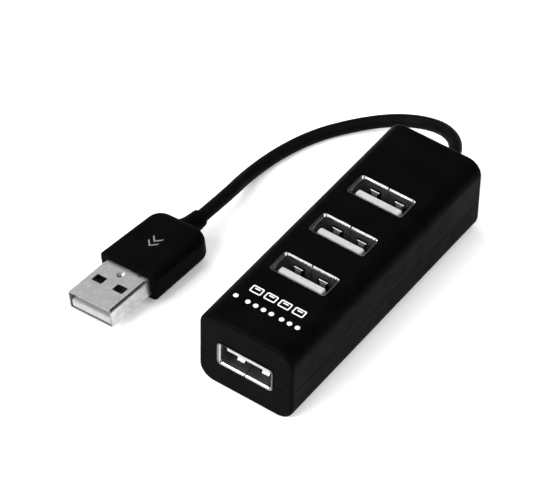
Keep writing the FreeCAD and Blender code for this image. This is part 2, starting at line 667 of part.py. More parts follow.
def plug_shell():
    length = PLUG_BARE + PLUG_BURIED
    solid = lengthwise_prism(PLUG_W, PLUG_H, PLUG_R, 0, length, 0)
    solid = solid.cut(lengthwise_prism(PLUG_W - 2 * SHEET, PLUG_H - 2 * SHEET, 0.3, -1, length + 1, 0))
    for side in (-1, 1):
        middle = side * PLUG_WINDOW_X
        solid = solid.cut(box(middle - PLUG_WINDOW_W / 2, middle + PLUG_WINDOW_W / 2, *PLUG_WINDOW_Y,
                              -PLUG_H, PLUG_H))
    # crescent-shaped cut round the back of the pressed tab
    crescent = cylinder(TAB_R, (0, TAB_Y, 1), (0, TAB_Y, 3))
    crescent = crescent.cut(cylinder(TAB_R, (0, TAB_Y - TAB_GAP, 0), (0, TAB_Y - TAB_GAP, 4)))
    solid = solid.cut(crescent)
    return solid.cut(box(*FOLD_X, *FOLD_Y, 1, 3))


def plug_insulator():
    side = INSULATOR_W / 2
    solid = box(-side, side, INSULATOR_Y, INSULATOR_END_Y, -PLUG_H / 2 + SHEET, 0.0)
    nose_edges = [e for e in solid.Edges if abs(e.CenterOfMass.y - INSULATOR_Y) < 1e-6]
    solid = solid.makeChamfer(TONGUE_CHAMFER, nose_edges)
    block = box(-side, side, PLUG_BARE - 0.4, INSULATOR_END_Y, -0.1, PLUG_H / 2 - SHEET)
    solid = union([solid, block])
    solid = solid.common(lengthwise_prism(PLUG_W - 2 * SHEET, PLUG_H - 2 * SHEET, 0.3,
                                          0, PLUG_BARE + PLUG_BURIED, 0))
    for x in CONTACT_X:
        solid = solid.cut(box(x - BLADE_W / 2 - 0.02, x + BLADE_W / 2 + 0.02, OUTER_BLADE_Y - 0.1,
                              INSULATOR_END_Y + 0.1, BLADE_Z[0] - 0.01, BLADE_Z[1] + 0.01))
    return solid


def plug_contacts():
    blades = []
    for x in CONTACT_X:
        front = OUTER_BLADE_Y if abs(x) > 2 else INNER_BLADE_Y
        blades.append(box(x - BLADE_W / 2, x + BLADE_W / 2, front, INSULATOR_END_Y + BLADE_TAIL, *BLADE_Z))
    return Part.makeCompound(blades)


def plug_grip():
    y0 = PLUG_BARE
    y1 = PLUG_BARE + GRIP_L
    section = lengthwise_prism(GRIP_W, GRIP_H, GRIP_R, y0, y1, 0)
    # seen from above the back corners are well rounded and the front ones hardly
    plan = upright_prism(GRIP_W, 2 * GRIP_L, GRIP_BACK_R, -GRIP_H, GRIP_H)
    plan.translate(VECTOR(0, y1 - GRIP_L, 0))
    solid = section.common(plan)
    pocket = lengthwise_prism(PLUG_W, PLUG_H, PLUG_R, y0 - 1, y0 + PLUG_BURIED, 0)
    return solid.cut(pocket)


def plug_boot():
    y0 = PLUG_BARE + GRIP_L
    y1 = y0 + BOOT_L
    return cone(BOOT_BASE_R, BOOT_TIP_R, (0, y0, 0), (0, y1, 0))


def lay_plug(shape):
    """From the plug's own frame to where it lies on the table."""
    shape.rotate(VECTOR(0, 0, 0), Y_AXIS, PLUG_ROLL)
    shape.rotate(VECTOR(0, 0, 0), Z_AXIS, PLUG_YAW)
    shape.translate(VECTOR(PLUG_X, PLUG_Y, PLUG_Z))
    return shape


# ---------------------------------------------------------------- everything

def build():
    nodes = {}
    nodes["upper_housing"], nodes["lower_housing"] = make_housing()

    sockets = [top_socket(y) for y in PORT_Y] + [end_socket()]
    for number, pieces in enumerate(sockets, start=1):
        for name, shape in pieces.items():
            nodes["port_%d_%s" % (number, name)] = shape

    nodes["circuit_board"] = make_board()
    nodes["solder_joints"] = make_solder()
    nodes["controller_chip"] = make_chip()
    nodes["chip_leads"] = make_chip_leads()
    nodes["crystal_can"] = make_crystal()
    nodes["capacitor_sleeves"], nodes["capacitor_tops"] = make_cans()
    nodes["chip_capacitors"] = make_small_parts(
        [(-7.9, 0.5), (7.9, 0.5), (-7.9, 3.0), (7.9, -2.2), (-7.9, -12.6), (7.9, -12.6)], 0.8)
    nodes["chip_resistors"] = make_small_parts(
        [(-7.9, -2.2), (7.9, 3.0), (7.9, 11.0), (-7.9, 11.0), (-7.9, -16.0), (7.9, -16.0)], 0.5)

    nodes["cable_gland"] = make_gland()
    nodes["cable_tie"] = make_tie()
    nodes["inner_sheath"] = cylinder(CORD_R, (0, SHEATH_END_Y, CORD_Z), (0, HUB_L / 2, CORD_Z))
    cores = {"red": (-0.65, 0.55), "white": (-0.65, -0.55), "green": (0.65, -0.55), "black": (0.65, 0.55)}
    for colour, x_pad in WIRE_PADS:
        x_core, dz = cores[colour]
        nodes["wire_" + colour] = tube(wire_path(x_pad, x_core, CORD_Z + dz), WIRE_R)
    nodes["cord"] = tube(ROUTE, CORD_R)

    nodes["plug_shell"] = lay_plug(plug_shell())
    nodes["plug_insulator"] = lay_plug(plug_insulator())
    nodes["plug_contacts"] = lay_plug(plug_contacts())
    nodes["plug_grip"] = lay_plug(plug_grip())
    nodes["plug_boot"] = lay_plug(plug_boot())
    return nodes


os.makedirs("parts", exist_ok=True)
for node, shape in build().items():
    size = shape.BoundBox
    print("%-20s solids %2d valid %s  z %.2f to %.2f  volume %.1f"
          % (node, len(shape.Solids), shape.isValid(), size.ZMin, size.ZMax, shape.Volume))
    shape.exportStep("parts/%s.step" % node)
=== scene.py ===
import math

import bmesh
import bpy
from mathutils import Matrix, Vector


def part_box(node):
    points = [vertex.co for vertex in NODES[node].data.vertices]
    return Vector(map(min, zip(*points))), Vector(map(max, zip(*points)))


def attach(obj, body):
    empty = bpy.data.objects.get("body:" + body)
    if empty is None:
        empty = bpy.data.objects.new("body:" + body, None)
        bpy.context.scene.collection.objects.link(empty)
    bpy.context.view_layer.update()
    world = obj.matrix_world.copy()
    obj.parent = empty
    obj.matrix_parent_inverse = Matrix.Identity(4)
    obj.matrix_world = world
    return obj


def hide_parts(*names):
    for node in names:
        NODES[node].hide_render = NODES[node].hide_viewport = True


# A four-socket USB hub with a short captive lead.  Metres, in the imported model's frame:
# origin under the middle of the housing, +Z up, +Y towards the end that the lead leaves.

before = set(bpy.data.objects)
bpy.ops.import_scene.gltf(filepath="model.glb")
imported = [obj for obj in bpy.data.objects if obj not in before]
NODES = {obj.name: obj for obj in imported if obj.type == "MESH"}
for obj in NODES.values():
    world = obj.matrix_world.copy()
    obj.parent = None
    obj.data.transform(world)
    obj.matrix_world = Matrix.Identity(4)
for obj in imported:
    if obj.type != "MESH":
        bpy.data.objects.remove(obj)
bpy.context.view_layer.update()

MM = 0.001

# Lead
CORD_R = 1.5 * MM
CORD_EXIT = (0, 36.6, 8.4)
ROUTE = [
    CORD_EXIT,
    (0, 42.4, 8.4),
    (-2.8, 47.9, 7.3),
    (-8.1, 51.2, 5.9),
    (-14.7, 51.5, 4.1),
    (-21.1, 49.0, 2.8),
    (-27.1, 43.8, 1.8),
    (-32.2, 36.4, 1.55),
    (-35.4, 27.2, 1.55),
    (-36.7, 17.2, 1.8),
    (-35.21, 7.24, 4.35),
    (-35.81, -1.34, 4.35),
]


# ---------------------------------------------------------------- camera and lead

def look_from(target, azimuth, elevation, roll, distance, lens):
    """A camera on a sphere round the target.  Azimuth 0 looks along +Y."""
    a = math.radians(azimuth)
    e = math.radians(elevation)
    c = math.radians(roll)
    back = Vector((math.sin(a) * math.cos(e), -math.cos(a) * math.cos(e), math.sin(e)))
    right = Vector((math.cos(a), math.sin(a), 0))
    up = back.cross(right)
    right, up = (math.cos(c) * right + math.sin(c) * up, math.cos(c) * up - math.sin(c) * right)
    data = bpy.data.cameras.new("camera")
    data.lens = lens
    data.clip_start = 0.05
    data.clip_end = 20
    camera = bpy.data.objects.new("camera", data)
    bpy.context.scene.collection.objects.link(camera)
    turn = Matrix((right, up, back)).transposed().to_4x4()
    camera.matrix_world = Matrix.Translation(Vector(target) + back * distance) @ turn
    bpy.context.scene.camera = camera


def make_cord():
    """The lead's tube and the points it follows, both from one NURBS curve.

    It is a mesh, because Blender grows a curve's box by its points' radius, a metre.
    """
    data = bpy.data.curves.new("cord_route", "CURVE")
    data.dimensions = "3D"
    spline = data.splines.new("NURBS")
    spline.points.add(len(ROUTE) - 1)
    for point, place in zip(spline.points, ROUTE):
        point.co = (*(Vector(place) * MM), 1)
    spline.order_u = 3
    spline.use_endpoint_u = True
    spline.resolution_u = 16
    route = bpy.data.objects.new("cord_route", data)
    bpy.context.scene.collection.objects.link(route)
    bpy.context.view_layer.update()
    path = [v.co.copy() for v in bpy.data.meshes.new_from_object(route).vertices]
    data.bevel_depth = CORD_R
    data.bevel_resolution = 8
    data.use_fill_caps = True
    bpy.context.view_layer.update()
    mesh = bpy.data.meshes.new_from_object(route.evaluated_get(bpy.context.evaluated_depsgraph_get()))
    bpy.data.objects.remove(route)
    cord = bpy.data.objects.new("cord_jacket", mesh)
    bpy.context.scene.collection.objects.link(cord)
    return cord, path


look_from(target=(-0.0152, -0.004, 0.00888), azimuth=34.5, elevation=45.62, roll=1.29,
          distance=0.7111, lens=223.3)
cord, cord_path = make_cord()
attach(cord, "hub")
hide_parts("cord")


# ---------------------------------------------------------------- materials

class Nodes:
    """Builds one material's node tree: short names for the nodes that the finishes share."""

    def __init__(self, name, colour, roughness, metallic=0.0, specular=0.5):
        self.material = bpy.data.materials.new(name)
        self.material.use_nodes = True
        self.tree = self.material.node_tree
        self.shader = self.tree.nodes["Principled BSDF"]
        self.shader.inputs["Base Color"].default_value = (*colour, 1)
        self.shader.inputs["Roughness"].default_value = roughness
        self.shader.inputs["Metallic"].default_value = metallic
        self.shader.inputs["Specular IOR Level"].default_value = specular
        self.height = None

    def link(self, a, b):
        self.tree.links.new(a, b)

    def place(self, stretch=(1, 1, 1)):
        """The object's own coordinates in metres, stretched along its axes."""
        coordinates = self.tree.nodes.new("ShaderNodeTexCoord")
        mapping = self.tree.nodes.new("ShaderNodeMapping")
        mapping.inputs["Scale"].default_value = stretch
        self.link(coordinates.outputs["Object"], mapping.inputs["Vector"])
        return mapping.outputs["Vector"]

    def noise(self, size, detail=3.0, rough=0.55, stretch=(1, 1, 1)):
        """Cloudy noise whose features are about that many metres across."""
        node = self.tree.nodes.new("ShaderNodeTexNoise")
        node.inputs["Scale"].default_value = 1 / size
        node.inputs["Detail"].default_value = detail
        node.inputs["Roughness"].default_value = rough
        self.link(self.place(stretch), node.inputs["Vector"])
        return node.outputs["Fac"]

    def cells(self, size, stretch=(1, 1, 1)):
        node = self.tree.nodes.new("ShaderNodeTexVoronoi")
        node.inputs["Scale"].default_value = 1 / size
        self.link(self.place(stretch), node.inputs["Vector"])
        return node.outputs["Distance"]

    def spread(self, value, low, high, out_low, out_high):
        """Maps a stretch of a value to another one."""
        node = self.tree.nodes.new("ShaderNodeMapRange")
        node.inputs["From Min"].default_value = low
        node.inputs["From Max"].default_value = high
        node.inputs["To Min"].default_value = out_low
        node.inputs["To Max"].default_value = out_high
        self.link(value, node.inputs["Value"])
        return node.outputs["Result"]

    def sum(self, a, b, operation="ADD"):
        node = self.tree.nodes.new("ShaderNodeMath")
        node.operation = operation
        self.link(a, node.inputs[0])
        self.link(b, node.inputs[1])
        return node.outputs["Value"]

    def colours(self, value, stops):
        """Colours by a value: a list of (place, colour)."""
        node = self.tree.nodes.new("ShaderNodeValToRGB")
        ramp = node.color_ramp
        while len(ramp.elements) < len(stops):
            ramp.elements.new(0.5)
        for element, (place, colour) in zip(ramp.elements, stops):
            element.position = place
            element.color = (*colour, 1)
        self.link(value, node.inputs["Fac"])
        self.link(node.outputs["Color"], self.shader.inputs["Base Color"])

    def roughness(self, value, low, high):
        self.link(self.spread(value, 0.3, 0.7, low, high), self.shader.inputs["Roughness"])

    def bump(self, value, depth):
        """Relief of that many metres, laid over any that came before it."""
        node = self.tree.nodes.new("ShaderNodeBump")
        node.inputs["Distance"].default_value = depth
        self.link(value, node.inputs["Height"])
        if self.height:
            self.link(self.height, node.inputs["Normal"])
        self.height = node.outputs["Normal"]
        self.link(self.height, self.shader.inputs["Normal"])


def grey(value):
    return (value, value, value)


def housing_plastic():
    """Black moulded plastic with a fine spark-eroded texture and faint handling marks."""
    m = Nodes("housing_plastic", grey(0.0015), 0.42, specular=0.0105)
    cloud = m.noise(9 * MM)
    m.colours(cloud, [(0.3, (0.0011, 0.0011, 0.0012)), (0.7, (0.002, 0.002, 0.0021))])
    m.roughness(m.noise(5 * MM, detail=5), 0.36, 0.5)
    m.bump(m.cells(0.22 * MM), 0.006 * MM)
    m.bump(m.noise(0.5 * MM, detail=4), 0.01 * MM)
    return m.material


def plug_plastic():
    """The softer overmoulding on the plug."""
    m = Nodes("plug_plastic", grey(0.0014), 0.45, specular=0.009)
    m.colours(m.noise(6 * MM), [(0.3, (0.001, 0.001, 0.0011)), (0.7, (0.0019, 0.0019, 0.002))])
    m.roughness(m.noise(3 * MM, detail=5), 0.4, 0.55)
    m.bump(m.noise(0.35 * MM, detail=4), 0.012 * MM)
    return m.material


def cord_pvc():
    """Extruded flexible jacket: matte, with a fine even grain."""
    m = Nodes("cord_pvc", grey(0.002), 0.5, specular=0.022)
    m.colours(m.noise(4 * MM), [(0.3, (0.0014, 0.0014, 0.0015)), (0.7, (0.0028, 0.0028, 0.003))])
    m.roughness(m.noise(2 * MM, detail=4), 0.42, 0.56)
    m.bump(m.noise(0.25 * MM, detail=4), 0.015 * MM)
    return m.material


def plate_metal(name, colour, roughness, grain=(1, 1, 1), wear=0.06):
    """Plated sheet: rolling grain along one way, dull patches and a little relief."""
    m = Nodes(name, grey(colour), roughness, metallic=1.0)
    grain_lines = m.noise(0.3 * MM, detail=3, stretch=grain)
    patches = m.noise(2.2 * MM, detail=5, rough=0.65)
    m.colours(patches, [(0.3, grey(colour - wear)), (0.55, grey(colour)), (0.75, grey(colour + 0.05))])
    m.roughness(m.sum(grain_lines, patches, "MULTIPLY"), roughness + 0.12, roughness - 0.03)
    m.bump(grain_lines, 0.004 * MM)
    return m.material


def worn_plate():
    """The plug's plated sheet: handled, with cloudy tarnish, rubbed streaks, scuffs and small pits."""
    m = Nodes("plug_steel", grey(0.5), 0.3, metallic=1.0)
    clouds = m.noise(3.2 * MM, detail=6, rough=0.68)
    streaks = m.noise(0.5 * MM, detail=4, rough=0.6, stretch=(1, 0.14, 1))
    pits = m.spread(m.noise(1.3 * MM, detail=4, rough=0.6), 0.24, 0.31, -0.25, 0.0)
    tone = m.sum(m.sum(clouds, m.spread(streaks, 0.3, 0.7, -0.05, 0.05)), pits)
    m.colours(tone, [(0.2, grey(0.15)), (0.38, grey(0.38)), (0.52, grey(0.46)), (0.66, grey(0.54))])
    m.roughness(m.sum(clouds, m.spread(streaks, 0.3, 0.7, -0.08, 0.08)), 0.38, 0.24)
    m.bump(streaks, 0.0015 * MM)
    m.bump(m.noise(2.5 * MM, detail=2), 0.03 * MM)
    return m.material


def white_plastic():
    """Glass-filled insulator: near white, faintly mottled."""
    m = Nodes("white_insulator", grey(0.37), 0.42)
    m.colours(m.noise(1.2 * MM, detail=4), [(0.3, (0.33, 0.33, 0.325)), (0.7, (0.42, 0.42, 0.415))])
    m.roughness(m.noise(0.8 * MM), 0.36, 0.5)
    m.bump(m.noise(0.15 * MM), 0.008 * MM)
    return m.material


def gold():
    m = Nodes("contact_gold", (0.5, 0.43, 0.31), 0.25, metallic=1.0)
    m.colours(m.noise(0.9 * MM, detail=4), [(0.3, (0.42, 0.36, 0.25)), (0.7, (0.56, 0.49, 0.37))])
    m.roughness(m.noise(0.5 * MM, detail=4), 0.2, 0.36)
    m.bump(m.noise(0.12 * MM, stretch=(1, 1, 0.1)), 0.003 * MM)
    return m.material


def mottled(name, low, high, roughness, size, metallic=0.0, relief=0.006):
    """A plain small part: two close colours, uneven gloss and a little grain."""
    m = Nodes(name, high, roughness, metallic=metallic)
    m.colours(m.noise(size, detail=4), [(0.3, low), (0.7, high)])
    m.roughness(m.noise(size / 2, detail=3), roughness - 0.06, roughness + 0.08)
    m.bump(m.noise(size / 6, detail=3), relief * MM)
    return m.material


FINISH = {
    "housing_plastic": housing_plastic(),
    "plug_plastic": plug_plastic(),
    "cord_jacket": cord_pvc(),
    "socket_steel": plate_metal("socket_steel", 0.38, 0.06, (0.15, 0.15, 1)),
    # darker steel inside the sleeve behind the lead-in: painted shade in the socket's depth
    "socket_inside_painted_shade": plate_metal("socket_inside_painted_shade", 0.22, 0.3, (0.15, 0.15, 1)),
    # dark dull metal on the flare's outer part and the top fingers' last bend: painted shade
    "socket_rim_painted_shade": mottled("socket_rim_painted_shade", grey(0.1), grey(0.16), 0.34, 0.8 * MM, 1.0),
    # darker steel on the shell's inside faces: painted shade inside the plug
    "plug_inside_painted_shade": plate_metal("plug_inside_painted_shade", 0.3, 0.45, (1, 0.15, 1)),
    # bare cut steel on the shell's front edge, made darker still as painted shade
    "cut_edge_and_painted_shade": mottled("cut_edge_and_painted_shade", grey(0.22), grey(0.3), 0.45, 0.6 * MM, 1.0),
    # near black in the fold's slot: painted shadow
    "fold_painted_shadow": mottled("fold_painted_shadow", grey(0.004), grey(0.01), 0.6, MM),
    "plug_steel": worn_plate(),
    "spring_steel": plate_metal("spring_steel", 0.44, 0.42, (1, 1, 0.15)),
    "white_insulator": white_plastic(),
    "plug_nose": mottled("plug_nose", grey(0.27), grey(0.33), 0.45, 1.2 * MM),
    # dark plastic on the block behind the nose: painted shade seen through the windows
    "plug_rear_painted_shade": mottled("plug_rear_painted_shade", grey(0.02), grey(0.035), 0.55, 0.8 * MM),
    "contact_gold": gold(),
    "board_green": mottled("board_green", (0.01, 0.09, 0.03), (0.02, 0.16, 0.06), 0.3, 2 * MM),
    "solder": mottled("solder", grey(0.55), grey(0.72), 0.3, 0.8 * MM, 1.0),
    "chip_epoxy": mottled("chip_epoxy", grey(0.02), grey(0.035), 0.6, 0.6 * MM),
    "tinned_lead": mottled("tinned_lead", grey(0.58), grey(0.7), 0.32, 0.5 * MM, 1.0),
    "crystal_steel": mottled("crystal_steel", grey(0.6), grey(0.7), 0.34, 1.5 * MM, 1.0),
    "capacitor_sleeve": mottled("capacitor_sleeve", (0.02, 0.03, 0.1), (0.04, 0.05, 0.15), 0.35, 2 * MM),
    "capacitor_aluminium": mottled("capacitor_aluminium", grey(0.68), grey(0.78), 0.35, MM, 1.0),
    "ceramic_body": mottled("ceramic_body", (0.42, 0.3, 0.18), (0.56, 0.42, 0.27), 0.5, 0.4 * MM),
    "resistor_body": mottled("resistor_body", grey(0.03), grey(0.06), 0.45, 0.4 * MM),
    "nylon": mottled("nylon", (0.7, 0.7, 0.65), (0.82, 0.82, 0.77), 0.4, 1.5 * MM),
    "wire_red": mottled("wire_red", (0.4, 0.02, 0.015), (0.55, 0.04, 0.03), 0.45, MM),
    "wire_white": mottled("wire_white", grey(0.68), grey(0.8), 0.45, MM),
    "wire_green": mottled("wire_green", (0.01, 0.2, 0.04), (0.03, 0.3, 0.07), 0.45, MM),
    "wire_black": mottled("wire_black", grey(0.012), grey(0.025), 0.45, MM),
    "print_white": mottled("print_white", grey(0.6), grey(0.72), 0.5, 0.5 * MM),
    "print_grey": mottled("print_grey", grey(0.1), grey(0.15), 0.5, 0.5 * MM),
}

for node in NODES.values():
    for place in node.material_slots:
        place.material = FINISH[place.material.name.split(".")[0]]


# ---------------------------------------------------------------- mesh helpers
# Shapes are drawn in millimetres and become metres where a mesh is made.

def outline(width, height, radius, steps=7):
    """A rounded rectangle round the origin: (x, y) points, anticlockwise."""
    points = []
    for side_x, side_y, start in ((1, -1, -90), (1, 1, 0), (-1, 1, 90), (-1, -1, 180)):
        for i in range(steps + 1 if radius else 1):
            angle = math.radians(start + 90 * i / steps)
            points.append((side_x * (width / 2 - radius) + radius * math.cos(angle),
                           side_y * (height / 2 - radius) + radius * math.sin(angle)))
    return points


def circle(radius, steps=32):
    turns = [2 * math.pi * i / steps for i in range(steps)]
    return [(radius * math.cos(t), radius * math.sin(t)) for t in turns]


def moved(points, x, y):
    """The same flat outline somewhere else."""
    return [(px + x, py + y) for px, py in points]


def upright(points, z):
    """A ring seen from above."""
    return [(x, y, z) for x, y in points]


def facing_y(points, y, z=0.0):
    """A ring seen along +Y."""
    return [(x, y, z + height) for x, height in points]


def new_object(name, vertices, faces):
    mesh = bpy.data.meshes.new(name)
    mesh.from_pydata([Vector(v) * MM for v in vertices], [], faces)
    shape = bmesh.new()
    shape.from_mesh(mesh)
    bmesh.ops.recalc_face_normals(shape, faces=shape.faces)
    shape.to_mesh(mesh)
    shape.free()
    piece = bpy.data.objects.new(name, mesh)
    bpy.context.scene.collection.objects.link(piece)
    return piece


def skin(name, rings, hollow=False):
    """Joins rings of equal length: capped at both ends, or if hollow closed on themselves."""
    count = len(rings[0])
    vertices = [v for ring in rings for v in ring]
    faces = []
    for r in range(len(rings) if hollow else len(rings) - 1):
        a = r * count
        b = (r + 1) % len(rings) * count
        for i in range(count):
            j = (i + 1) % count
            faces.append((a + i, a + j, b + j, b + i))
    if not hollow:
        faces.append(tuple(range(count))[::-1])
        faces.append(tuple(range(len(vertices) - count, len(vertices))))
    return new_object(name, vertices, faces)


def block(x0, x1, y0, y1, z0, z1, radius=0.0):
    """A box, seen from above with rounded corners if it has a radius."""
    ring = [(x + (x0 + x1) / 2, y + (y0 + y1) / 2) for x, y in outline(x1 - x0, y1 - y0, radius, 5)]
    return skin("block", [upright(ring, z0), upright(ring, z1)])


def combine(piece, other, operation="DIFFERENCE"):
    """Cuts the other solid out of the piece, or with UNION joins them into one solid."""
    modifier = piece.modifiers.new("combine", "BOOLEAN")
    modifier.operation = operation
    modifier.object = other
    modifier.solver = "EXACT"
    bpy.context.view_layer.update()
    mesh = bpy.data.meshes.new_from_object(piece.evaluated_get(bpy.context.evaluated_depsgraph_get()))
    piece.modifiers.clear()
    piece.data = mesh
    bpy.data.objects.remove(other)
    return piece


def join(name, pieces):
    """Several separate shells as one piece."""
    shape = bmesh.new()
    for piece in pieces:
        shape.from_mesh(piece.data)
        bpy.data.objects.remove(piece)
    mesh = bpy.data.meshes.new(name)
    shape.to_mesh(mesh)
    shape.free()
    joined = bpy.data.objects.new(name, mesh)
    bpy.context.scene.collection.objects.link(joined)
    return joined


def settle(piece, name, body, finish, stands_for=(), place=None, bevel=0.0, sharp=38):
    """Puts a piece in its place, softens its edges and gives it its body and finish."""
    piece.name = name
    mesh = piece.data
    mesh.name = name
    if place:
        mesh.transform(place)
    mesh.shade_smooth()
    mesh.set_sharp_from_angle(angle=math.radians(sharp))
    if bevel:
        edge = piece.modifiers.new("edge", "BEVEL")
        edge.width = bevel * MM
        edge.segments = 2
        edge.limit_method = "ANGLE"
        edge.angle_limit = math.radians(sharp)
        edge.harden_normals = True
    normals = piece.modifiers.new("normals", "WEIGHTED_NORMAL")
    normals.keep_sharp = True
    mesh.materials.clear()
    mesh.materials.append(FINISH[finish])
    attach(piece, body)
    if stands_for:
        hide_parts(*stands_for)
    return piece


def refinish(piece, finish, test, place=Matrix()):
    """Gives another finish to the faces that pass a test of their middle, in millimetres."""
    piece.data.materials.append(FINISH[finish])
    back = place.inverted()
    for face in piece.data.polygons:
        if test(*(back @ face.center / MM)):
            face.material_index = len(piece.data.materials) - 1


# ---------------------------------------------------------------- housing

HUB_W = 23.4
HUB_L = 70.0
HUB_H = 19.4
WALL = 1.6
LONG_EDGE_R = 3.7
END_EDGE_R = 0.8
SEAM = 8.4
GROOVE = 0.14
GROOVE_DEPTH = 0.28
POSTS = [(x, y) for x in (-8.45, 8.45) for y in (-31.5, 31.5)]
POST_R = 1.35
NECK_R = 2.55                       # hole for the lead's collar
SOCKET_HOLE = (13.26, 5.86, 1.0)    # width, height and corner radius
SOCKET_Y = [13.7, -0.3, -14.3]
END_SOCKET_Z = 9.8
PAST = 1.0                          # cutting solids stand this far out of what they cut


def bar(grow, edge_radius, steps=6):
    """The housing's outer form, or its cavity where grow is negative: a rounded bar along Y."""
    half = HUB_L / 2 + grow
    stations = []
    for i in range(steps + 1 if edge_radius else 1):
        turn = math.radians(90 * i / steps)
        stations.append((half - edge_radius * (1 - math.sin(turn)), edge_radius * (1 - math.cos(turn))))
    stations = [(-y, inset) for y, inset in stations[::-1]] + stations
    rings = []
    for y, inset in stations:
        size = grow - inset
        ring = outline(HUB_W + 2 * size, HUB_H + 2 * size, LONG_EDGE_R + size, 10)
        rings.append(facing_y(ring, y, HUB_H / 2))
    return skin("bar", rings)


def seam_groove():
    """A thin ring round the housing at the parting line."""
    low = SEAM - GROOVE / 2
    high = SEAM + GROOVE / 2
    wide = outline(HUB_W + 2 * PAST, HUB_L + 2 * PAST, END_EDGE_R + PAST)
    narrow = outline(HUB_W - 2 * GROOVE_DEPTH, HUB_L - 2 * GROOVE_DEPTH, END_EDGE_R)
    return skin("groove", [upright(wide, low), upright(wide, high), upright(narrow, high),
                           upright(narrow, low)], hollow=True)


def socket_holes():
    ring = outline(*SOCKET_HOLE)
    roof = (HUB_H - WALL - PAST, HUB_H + PAST)
    front = (-HUB_L / 2 - PAST, -HUB_L / 2 + WALL + PAST)
    back = (HUB_L / 2 - WALL - PAST, HUB_L / 2 + PAST)
    holes = [skin("hole", [upright(moved(ring, 0, y), z) for z in roof]) for y in SOCKET_Y]
    holes.append(skin("hole", [facing_y(ring, y, END_SOCKET_Z) for y in front]))
    holes.append(skin("hole", [facing_y(circle(NECK_R), y, SEAM) for y in back]))
    return holes


def make_housing():
    """Two hollow halves with their posts: each is a slice of the whole bar."""
    halves = (("lower", (-PAST, SEAM), (WALL - 0.3, SEAM)),
              ("upper", (SEAM, HUB_H + PAST), (SEAM + 0.1, HUB_H - WALL + 0.1)))
    for half, slice_z, post_z in halves:
        piece = bar(0, END_EDGE_R)
        combine(piece, bar(-WALL, 0.0))
        combine(piece, seam_groove())
        combine(piece, block(-HUB_W, HUB_W, -HUB_L, HUB_L, *slice_z), "INTERSECT")
        for hole in socket_holes():
            combine(piece, hole)
        for x, y in POSTS:
            post = moved(circle(POST_R, 24), x, y)
            combine(piece, skin("post", [upright(post, z) for z in post_z]), "UNION")
        settle(piece, half + "_shell", "hub", "housing_plastic", [half + "_housing"], bevel=0.05)


make_housing()


# ---------------------------------------------------------------- sockets
# Drawn with the mouth at z = 0 facing +Z, the tongue on the -Y side and the springs on the +Y side.

SOCKET_W = 12.5
SOCKET_H = 5.1
SOCKET_R = 0.7
FLARE_X = 0.7                   # the mouth is flared this far, sideways and upwards
FLARE_Y = 0.46
RIM = 0.44                      # share of the flare where its outer part begins, which is painted darker as painted shade
PROUD = 0.25
THROAT = 0.62                   # depth of the bright lead-in
SHEET_SEAM = 0.14
SEAM_NOTCH = (0.32, 0.5)        # width and depth of the seam's wider start
LATCH_R = 0.3                   # small latching holes in the end walls
LATCH_DEPTH = 2.6
WINDOW_END = -9.0
BASE_TOP = -12.0
TONGUE_W = 11.1
TONGUE_T = 1.84
TONGUE_FACE = -0.08
TONGUE_TIP = ((0.0, 0.5), (0.07, 0.22), (0.2, 0.06), (0.42, 0.0))   # (inset, distance behind the tip)
CONTACT_X = (-3.5, -1.0, 1.0, 3.5)
SLOT_W = 1.1                    # grooves that the contacts lie in
SLOT_DEPTH = 0.28
SLOT_FRONT = -2.6
SPRING_X = (-3.1, 3.1)
SPRING_T = 0.25
SPRING_OUT = 3.07               # the clip's own plane, from the socket's middle
CLIP_W = 8.6
CLIP_Z = (-9.9, -8.9)
FINGER_ROOT = [(2.93, -9.0), (2.93, -8.4)]
TIP_Z = -2.5                    # the fingers' last bend, painted darker as painted shade

# Inside of the mouth, from the throat out: (share of the flare, z)
STEEP_LIP = [(0, -THROAT), (0.35, -0.25), (0.9, -0.02)]
SHALLOW_LIP = [(0, -THROAT), (0, -0.47), (0.04, -0.4), (0.4, -0.21), (0.46, -0.185), (0.9, -0.05)]
# Outside of the mouth, from its edge back to the plain sleeve
MOUTH_EDGE = [(0.95, 0.0), (1.0, -0.05), (1.0, -0.17)]
OUTSIDE = [(0.9, -0.23), (0.6, -PROUD), (0.42, -0.34), (0.34, -0.55)]
SLEEVE = 0.33

TOP_SOCKET = {
    "depth": 12.8,
    "base_end": 12.8,
    "setback": 0.9,
    "lip": STEEP_LIP,
    "window": (1.4, -1.9),
    "bend": [(2.3, -6.3), (1.96, -4.3), (2.0, -3.0), (2.15, -2.4), (2.35, -2.2)],
    "finger": (1.0, 2.3),
}
END_SOCKET = {
    "depth": 13.6,
    "base_end": 14.0,
    "setback": 1.35,
    "lip": SHALLOW_LIP,
    "window": (1.1, -2.65),
    "bend": [(2.5, -6.8), (2.0, -4.7), (2.2, -3.8), (2.8, -3.15), (3.25, -2.7)],
    "finger": (1.7, 1.8),
}


def socket_ring(grow, z):
    """The socket's outline at a depth, grown by a share of the flare."""
    return upright(outline(SOCKET_W + 2 * grow * FLARE_X, SOCKET_H + 2 * grow * FLARE_Y,
                           SOCKET_R + 0.1 * grow, 6), z)


def socket_shell(depth, lip, window):
    """Sheet steel with a mouth that is flared outwards, two spring windows and an open seam."""
    section = [(0, -depth)] + lip + MOUTH_EDGE + OUTSIDE + [(SLEEVE, -depth)]
    shell = skin("shell", [socket_ring(grow, z) for grow, z in section], hollow=True)
    half, top = window
    for x in SPRING_X:
        combine(shell, block(x - half, x + half, 0.5, 4, WINDOW_END, top))
    for width, low in ((SHEET_SEAM, -depth - PAST), (SEAM_NOTCH[0], -SEAM_NOTCH[1])):
        combine(shell, block(-width / 2, width / 2, 1, 4, low, PAST))
    for side in (-1, 1):
        latch = [[(side * x, y, z - LATCH_DEPTH) for y, z in circle(LATCH_R, 16)] for x in (5, 8)]
        combine(shell, skin("hole", latch))
    return shell


